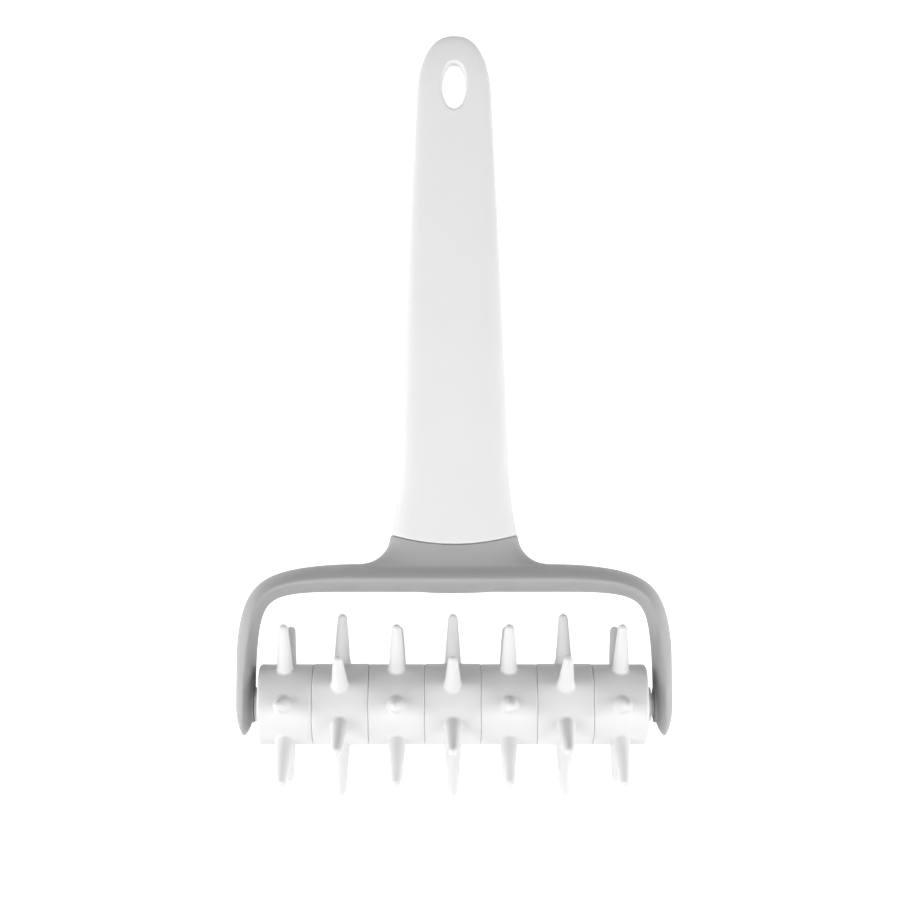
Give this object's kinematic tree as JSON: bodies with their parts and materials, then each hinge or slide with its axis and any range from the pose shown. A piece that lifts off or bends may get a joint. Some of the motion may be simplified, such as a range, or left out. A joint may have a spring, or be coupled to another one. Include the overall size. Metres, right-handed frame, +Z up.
{
  "type": "dough docker",
  "caption": "Hand roller that pricks dough: spiked rings on a core that turns in a U-shaped yoke, with a flat tapered grip and an oval hanging hole.",
  "frame": {"origin": "bottom centre of the whole tool's box as it lies on a table, on its lowest spikes and on the hanging end of the grip", "axes": "+X along the roller, +Y from the roller towards the hanging end, +Z up from the table"},
  "size_m": [0.1148, 0.2046, 0.0471],
  "materials": {
    "grip": "moulded white plastic, satin",
    "yoke": "moulded light grey plastic, satin",
    "rings": "moulded white plastic, satin",
    "core": "moulded natural white plastic, satin"
  },
  "bodies": {
    "handle": {"yoke": "yoke", "grip": "grip"},
    "roller": {"core_shaft": "core", "end_cap": "core", "ring_1": "rings", "ring_2": "rings", "ring_3": "rings", "ring_4": "rings", "ring_5": "rings", "ring_6": "rings", "ring_7": "rings"}
  },
  "joints": [
    {"name": "roller_spin", "type": "hinge", "parent": "handle", "child": "roller", "pos_m": [0, -0.07874, 0.02353], "axis": [1, 0, 0], "continuous": true}
  ]
}
